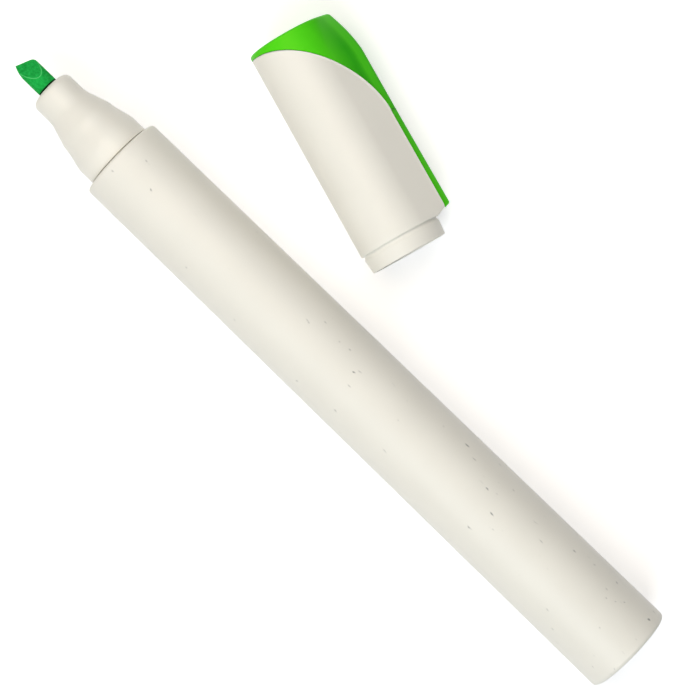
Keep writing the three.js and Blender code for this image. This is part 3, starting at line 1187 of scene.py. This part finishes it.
@dataclass(eq=False)
class CapCrown:
    """The green crown: a round lid with a ridge, cut off at the swept line, and its plug."""

    form: CapForm = field(default_factory=CapForm)
    rim_round: float = 0.7
    seam: float = 0.02
    seam_round: float = 0.06
    joint_angle: float = 0.3  # the seam's rounding fades out this near to the strip
    plug_radius: float = 5.9
    plug_wall: float = 0.8
    plug_depth: float = 5.0
    plug_clear: float = 0.3  # how far the plug reaches past the swept cut at least
    plug_run: float = 1.0  # length of the plain plug before it is shaped
    end_wall: float = 1.1
    steps: int = 360
    rows: int = 44
    side: float = 20.0  # length of the plain lid before it is shaped

    def build(self, place: Place, finish: MouldedPlastic) -> bpy.types.Object:
        """Builds the crown from a plain turned lid that is then shaped.

        Args:
            place: the cap's axes.
            finish: what it is made of.

        Returns:
            The object.
        """
        outer = self.form.mouth_radius
        inner = self.plug_radius - self.plug_wall
        outline = [
            Knot(0.0, 0.0, 0.0, 8),
            Knot(0.0, outer, self.rim_round, self.rows),
            Knot(self.side, outer, self.seam_round, 10),
            Knot(self.side, self.plug_radius),
            Knot(self.side + self.plug_run, self.plug_radius),
            Knot(self.side + self.plug_run, inner, 0.0, 6),
            Knot(self.end_wall, inner),
            Knot(self.end_wall, 0.0),
        ]
        mesh = reshaped(turned(outline, self.steps, closed=False), self.shape)
        # painted shade, a darker green, along the ridge
        self.form.paint_ridge_shade(mesh)
        return Piece(
            "cap_crown_ridged", mesh, place, finish.material(), Body.CAP, Slot.CROWN,
            ("cap_crown",),
        ).make()

    def shape(self, spot: Spot) -> Spot:
        """Moves a point of the plain lid to the ridged and swept crown.

        Args:
            spot: where the point is.

        Returns:
            Where it goes.
        """
        form = self.form
        x, radius, angle = spot.x, spot.radius, form.spread(spot.angle)
        inner = self.plug_radius - self.plug_wall
        if radius <= self.plug_radius + WELD and x > WELD:
            if radius > inner + WELD and x < self.side + self.plug_run / 2.0:
                return Spot(self.on_seam(radius, angle), radius, angle)
            deep = max(self.plug_depth, self.on_seam(self.plug_radius, angle) + self.plug_clear)
            share = (x - self.end_wall) / (self.side + self.plug_run - self.end_wall)
            return Spot(mix(self.end_wall, deep, share), radius, angle)
        depth = form.mouth_radius - radius
        flat = form.mouth_radius - self.rim_round
        if x <= self.rim_round + WELD and radius > flat - WELD:
            return Spot(x, form.crown_radius(x, angle) - depth, angle)
        if x < WELD:
            reach = form.crown_radius(0.0, angle) - self.rim_round
            return Spot(0.0, reach * radius / flat, angle)
        final = self.seam_end(round(angle, 6))
        if x < self.side - self.seam_round - WELD:
            rest = 1.0 - (x - self.rim_round) / (self.side - self.rim_round)
            place = mix(final, self.rim_round, rest * rest)
            return Spot(place, form.crown_radius(place, angle) - depth, angle)
        if depth <= self.seam_round + WELD:
            place = final - (self.side - x)
            sunk = depth * min(abs(angle) / self.joint_angle, 1.0)
            return Spot(place, form.crown_radius(place, angle) - sunk, angle)
        share = (radius - self.plug_radius) / (form.mouth_radius - self.plug_radius)
        radius = mix(self.plug_radius, form.crown_radius(final, angle), share)
        return Spot(self.on_seam(radius, angle), radius, angle)

    @functools.cache
    def seam_end(self, angle: float) -> float:
        """Where the outer surface ends at an angle."""
        return self.form.seam_on(self.form.crown_radius, angle) - self.seam

    def on_seam(self, radius: float, angle: float) -> float:
        """The place along the cap of a point on the swept cut."""
        return self.form.seam_x(radius * math.cos(angle)) - self.seam


@dataclass
class CapClip:
    """The green strip that carries the crown's ridge on over the keel."""

    form: CapForm = field(default_factory=CapForm)
    stand_off: float = 0.06
    foot_set_back: float = 0.55
    foot_swell: float = 0.12
    foot_slope: float = 0.35  # how far the strip's end leans back from its foot to its top
    foot_lean_from: float = 0.9  # the share of the strip's length at which that starts
    foot_round: float = 0.25
    joint: float = 0.01
    joint_lean: float = 0.025  # keeps the strip's top clear of the crown when it flexes
    top_steps: int = 28
    rows: int = 16
    round_rows: int = 5
    halvings: int = 30
    search_angle: float = math.pi / 4.0  # the section's corner lies nearer to the keel's middle

    def build(self, place: Place, finish: bpy.types.Material) -> bpy.types.Object:
        """Builds the strip by drawing its section along the keel.

        Args:
            place: the cap's axes.
            finish: the crown's material, which it shares.

        Returns:
            The object.
        """
        start = self.form.sweep[-1][0] + self.joint
        end = self.form.shell_length - self.foot_set_back
        mesh = bmesh.new()
        ring = bmesh.ops.create_circle(mesh, segments=self.top_steps + 4, radius=1.0)["verts"]
        for vertex, (y, z) in zip(ring, self.section()):
            vertex.co = (start, y, z)
        middle = (self.form.keel_face + self.form.crown_face) / 2.0
        edges = list(mesh.edges)
        bmesh.ops.contextual_create(mesh, geom=edges)
        straight = end - self.foot_round
        runs = [mix(start, straight, (i + 1) / self.rows) for i in range(self.rows)]
        turns = [math.pi / 2.0 * (i + 1) / self.round_rows for i in range(self.round_rows)]
        for x in runs:
            edges = self.drawn(mesh, edges, x, 0.0, middle)
        done = 0.0
        for turn in turns:
            inset = self.foot_round * (1.0 - math.cos(turn))
            edges = self.drawn(
                mesh, edges, straight + self.foot_round * math.sin(turn), inset - done, middle
            )
            done = inset
        bmesh.ops.contextual_create(mesh, geom=edges)
        self.finish_foot(mesh, start, end)
        # painted shade, a darker green, along the ridge
        self.form.paint_ridge_shade(mesh)
        bmesh.ops.recalc_face_normals(mesh, faces=mesh.faces)
        return Piece(
            "cap_clip_strip", mesh, place, finish, Body.CLIP, Slot.CROWN, ("cap_clip",)
        ).make()

    def section(self) -> list[tuple[float, float]]:
        """The strip's section: the ridge's own outline above the keel's face.

        Returns:
            Heights and sideways places, in order around the section.
        """
        form = self.form
        low = form.keel_face + self.stand_off
        x = form.sweep[-1][0]
        near, far = 0.0, self.search_angle
        for _ in range(self.halvings):
            widest = (near + far) / 2.0
            if form.crown_radius(x, widest) * math.cos(widest) > low:
                near = widest
            else:
                far = widest
        angles = [mix(-widest, widest, i / self.top_steps) for i in range(self.top_steps + 1)]
        radii = [form.crown_radius(x, angle) for angle in angles]
        top = [(r * math.cos(a), r * math.sin(a)) for r, a in zip(radii, angles)]
        half = top[-1][1]
        return top + [(low, half * share) for share in (0.5, 0.0, -0.5)]

    def drawn(
        self, mesh: bmesh.types.BMesh, edges: list[bmesh.types.BMEdge], x: float, inset: float,
        middle: float,
    ) -> list[bmesh.types.BMEdge]:
        """Draws the section on to a place along the keel.

        Args:
            mesh: the strip so far.
            edges: its open end.
            x: the new place.
            inset: how far the section shrinks on the way.
            middle: the height that it shrinks to.

        Returns:
            The new open end.
        """
        made = bmesh.ops.extrude_edge_only(mesh, edges=edges)["geom"]
        for vertex in (g for g in made if isinstance(g, bmesh.types.BMVert)):
            y, z = vertex.co.y - middle, vertex.co.z
            size = max(math.hypot(y, z), inset)
            scale = 1.0 - inset / size
            vertex.co = (x, middle + y * scale, z * scale)
        return [g for g in made if isinstance(g, bmesh.types.BMEdge)]

    def finish_foot(self, mesh: bmesh.types.BMesh, start: float, end: float) -> None:
        """Swells the strip towards its foot and leans its end back.

        Args:
            mesh: the strip.
            start: its end at the crown.
            end: its foot.
        """
        low, high = self.form.keel_face + self.stand_off, self.form.crown_face
        for vertex in mesh.verts:
            share = (vertex.co.x - start) / (end - start)
            rise = (vertex.co.y - low) / (high - low)
            vertex.co.y += self.foot_swell * share * rise
            if share < WELD:
                vertex.co.x += self.joint_lean * rise
            leaning = max(share - self.foot_lean_from, 0.0) / (1.0 - self.foot_lean_from)
            vertex.co.x -= self.foot_slope * rise * leaning


@dataclass
class InnerSeal:
    """The cup inside the cap that closes on the nose and keeps the nib wet."""

    form: CapForm = field(default_factory=CapForm)
    wall: float = 0.5
    rim: float = 34.15
    cone_end: float = 32.75
    tip_start: float = 28.75
    nose_front: float = 24.05
    bottom: float = 15.35
    land: float = 5.45
    tip: float = 3.97
    nib: float = 2.6
    clearance: float = 0.04  # to the cap's bore
    fine_round: float = 0.1
    nib_round: float = 0.15
    small_round: float = 0.2
    rim_round: float = 0.25
    inner_round: float = 0.3
    cone_round: float = 0.5
    steps: int = 128

    def build(self, place: Place, finish: MouldedPlastic) -> bpy.types.Object:
        """Builds the seal.

        Args:
            place: the cap's axes.
            finish: what it is made of.

        Returns:
            The object.
        """
        wall = self.wall
        outer = self.form.bore - self.clearance
        outline = [
            Knot(self.bottom - wall, 0.0),
            Knot(self.bottom - wall, self.nib + wall, self.inner_round),
            Knot(self.nose_front - wall, self.nib + wall, self.small_round),
            Knot(self.nose_front - wall, self.tip + wall, self.inner_round),
            Knot(self.tip_start, self.tip + wall, self.cone_round),
            Knot(self.cone_end, self.land + wall / 2.0, self.small_round),
            Knot(self.cone_end, outer, self.fine_round),
            Knot(self.rim, outer, self.fine_round),
            Knot(self.rim, self.land, self.rim_round),
            Knot(self.cone_end, self.land, self.cone_round),
            Knot(self.tip_start, self.tip, self.cone_round),
            Knot(self.nose_front, self.tip, self.small_round),
            Knot(self.nose_front, self.nib, self.nib_round),
            Knot(self.bottom, self.nib, self.inner_round),
            Knot(self.bottom, 0.0),
        ]
        mesh = turned(outline, self.steps, closed=False, round_steps=4)
        return Piece(
            "cap_inner_seal_cup", mesh, place, finish.material(), Body.CAP, Slot.SEAL,
            ("cap_inner_seal",),
        ).make()


@dataclass
class InkStore:
    """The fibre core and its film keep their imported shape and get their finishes."""

    core: str = "ink_reservoir"
    film: str = "reservoir_sleeve"

    def dress(self, fibre: BondedFibre, film: MouldedPlastic) -> None:
        """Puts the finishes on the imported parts.

        Args:
            fibre: what the core is made of.
            film: what is wrapped round it.
        """
        for node, finish in ((self.core, fibre), (self.film, film)):
            data = frame["nodes"][node].data
            data.materials.clear()
            data.materials.append(finish.material())
            LOG.info("%s: dressed as %s", node, finish.name)


# ---- Setting -------------------------------------------------------------------------------------
@dataclass(frozen=True)
class Lamp:
    """A square soft box."""

    name: str
    place: tuple[float, float, float]
    aim: tuple[float, float, float]
    size: float
    power: float
    colour: str = "FFFFFF"

    def hang(self) -> None:
        """Makes the lamp and turns it to what it lights."""
        data = bpy.data.lights.new(self.name, "AREA")
        data.shape = "SQUARE"
        data.size = self.size
        data.energy = self.power
        data.color = linear_colour(self.colour)[:3]
        lamp = bpy.data.objects.new(self.name, data)
        lamp.location = self.place
        lamp.rotation_euler = (Vector(self.aim) - Vector(self.place)).to_track_quat(
            "-Z", "Y"
        ).to_euler()
        bpy.context.scene.collection.objects.link(lamp)


@dataclass
class Studio:
    """The pale floor, the even sky and the lamps."""

    floor_size: float = 4.0
    floor_colour: str = "F2F2F2"
    lift: float = 0.42  # added for the camera, so that the floor reads as white
    sky: float = 0.1
    lamps: tuple[Lamp, ...] = (
        Lamp("key_soft_box", (0.26, -0.45, 0.62), (0.0, 0.0, 0.008), 0.6, 3.9, "F4FAFF"),
        Lamp("fill_soft_box", (-0.2, 0.2, 0.35), (0.0, 0.0, 0.008), 0.35, 0.47, "EAF2FF"),
        Lamp("top_soft_box", (-0.17, 0.0, 0.49), (-0.04, 0.0, 0.008), 0.35, 1.16, "FFF0DC"),
    )

    def build(self) -> None:
        """Makes the whole setting."""
        self.lay_floor()
        self.fill_sky()
        for lamp in self.lamps:
            lamp.hang()

    def seen(self, tree: bpy.types.NodeTree) -> bpy.types.NodeSocket:
        """1 where the background is looked at, directly or in gloss or glass.

        Args:
            tree: where the nodes go.

        Returns:
            The socket.
        """
        path = add_node(tree, "ShaderNodeLightPath")
        gloss = add_node(
            tree, "ShaderNodeMath", {"operation": "MAXIMUM"},
            {0: path.outputs["Is Camera Ray"], 1: path.outputs["Is Glossy Ray"]},
        )
        return add_node(
            tree, "ShaderNodeMath", {"operation": "MAXIMUM"},
            {0: gloss.outputs[0], 1: path.outputs["Is Transmission Ray"]},
        ).outputs[0]

    def lay_floor(self) -> None:
        """A matt pale sheet that keeps the shadows."""
        mesh = bmesh.new()
        bmesh.ops.create_grid(mesh, x_segments=1, y_segments=1, size=self.floor_size / 2.0)
        data = bpy.data.meshes.new("floor")
        mesh.to_mesh(data)
        mesh.free()
        floor = bpy.data.objects.new("floor", data)
        material, tree = new_tree("matt_white_paper")
        matt = add_node(
            tree, "ShaderNodeBsdfDiffuse", {"Color": linear_colour(self.floor_colour)}
        )
        strength = add_node(
            tree, "ShaderNodeMath", {"operation": "MULTIPLY", 1: self.lift},
            {0: self.seen(tree)},
        )
        glow = add_node(tree, "ShaderNodeEmission", {}, {"Strength": strength.outputs[0]})
        both = add_node(
            tree, "ShaderNodeAddShader", {}, {0: matt.outputs[0], 1: glow.outputs[0]}
        )
        add_node(tree, "ShaderNodeOutputMaterial", {}, {"Surface": both.outputs[0]})
        data.materials.append(material)
        bpy.context.scene.collection.objects.link(floor)

    def fill_sky(self) -> None:
        """An even white sky."""
        world = bpy.data.worlds.new("even_sky")
        world.use_nodes = True
        tree = world.node_tree
        tree.nodes.clear()
        strength = add_node(
            tree, "ShaderNodeMapRange", {"To Min": self.sky, "To Max": 1.0},
            {"Value": self.seen(tree)},
        )
        sky = add_node(tree, "ShaderNodeBackground", {}, {"Strength": strength.outputs[0]})
        add_node(tree, "ShaderNodeOutputWorld", {}, {"Surface": sky.outputs[0]})
        bpy.context.scene.world = world


@dataclass
class Camera:
    """Looks straight down, with the marker running from the upper left to the lower right."""

    offset: Vector = field(default_factory=lambda: Vector((0.04815, 0.0035, 0.45)))
    turn: float = math.radians(44.1)
    view_angle: float = math.radians(14.3)

    def set_up(self, place: Place) -> None:
        """Makes the camera.

        Args:
            place: the marker's axes, over which the camera hangs.
        """
        data = bpy.data.cameras.new("camera")
        data.type = "PERSP"
        data.lens_unit = "FOV"
        data.angle = self.view_angle
        data.clip_start = 0.01
        camera = bpy.data.objects.new("camera", data)
        camera.location = place.origin + self.offset
        camera.rotation_euler = (0.0, 0.0, self.turn)
        bpy.context.scene.collection.objects.link(camera)
        bpy.context.scene.camera = camera


def main() -> None:
    """Builds the marker, its cap and the setting."""
    logging.basicConfig(level=logging.INFO, format="%(name)s: %(message)s")
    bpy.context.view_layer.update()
    marker, cap = marker_place(), cap_place()
    Barrel().build(marker, BARREL_PLASTIC)
    NoseSection().build(marker, NOSE_PLASTIC)
    Nib().build(marker, NIB_FELT)
    InkStore().dress(RESERVOIR_FIBRE, RESERVOIR_FILM)
    CapShell().build(cap, CAP_PLASTIC)
    crown = CapCrown().build(cap, CROWN_PLASTIC)
    CapClip().build(cap, crown.data.materials[0])
    InnerSeal().build(cap, SEAL_PLASTIC)
    Studio().build()
    Camera().set_up(marker)
    bpy.context.scene.view_settings.view_transform = "Standard"


if __name__ == "__main__":
    main()
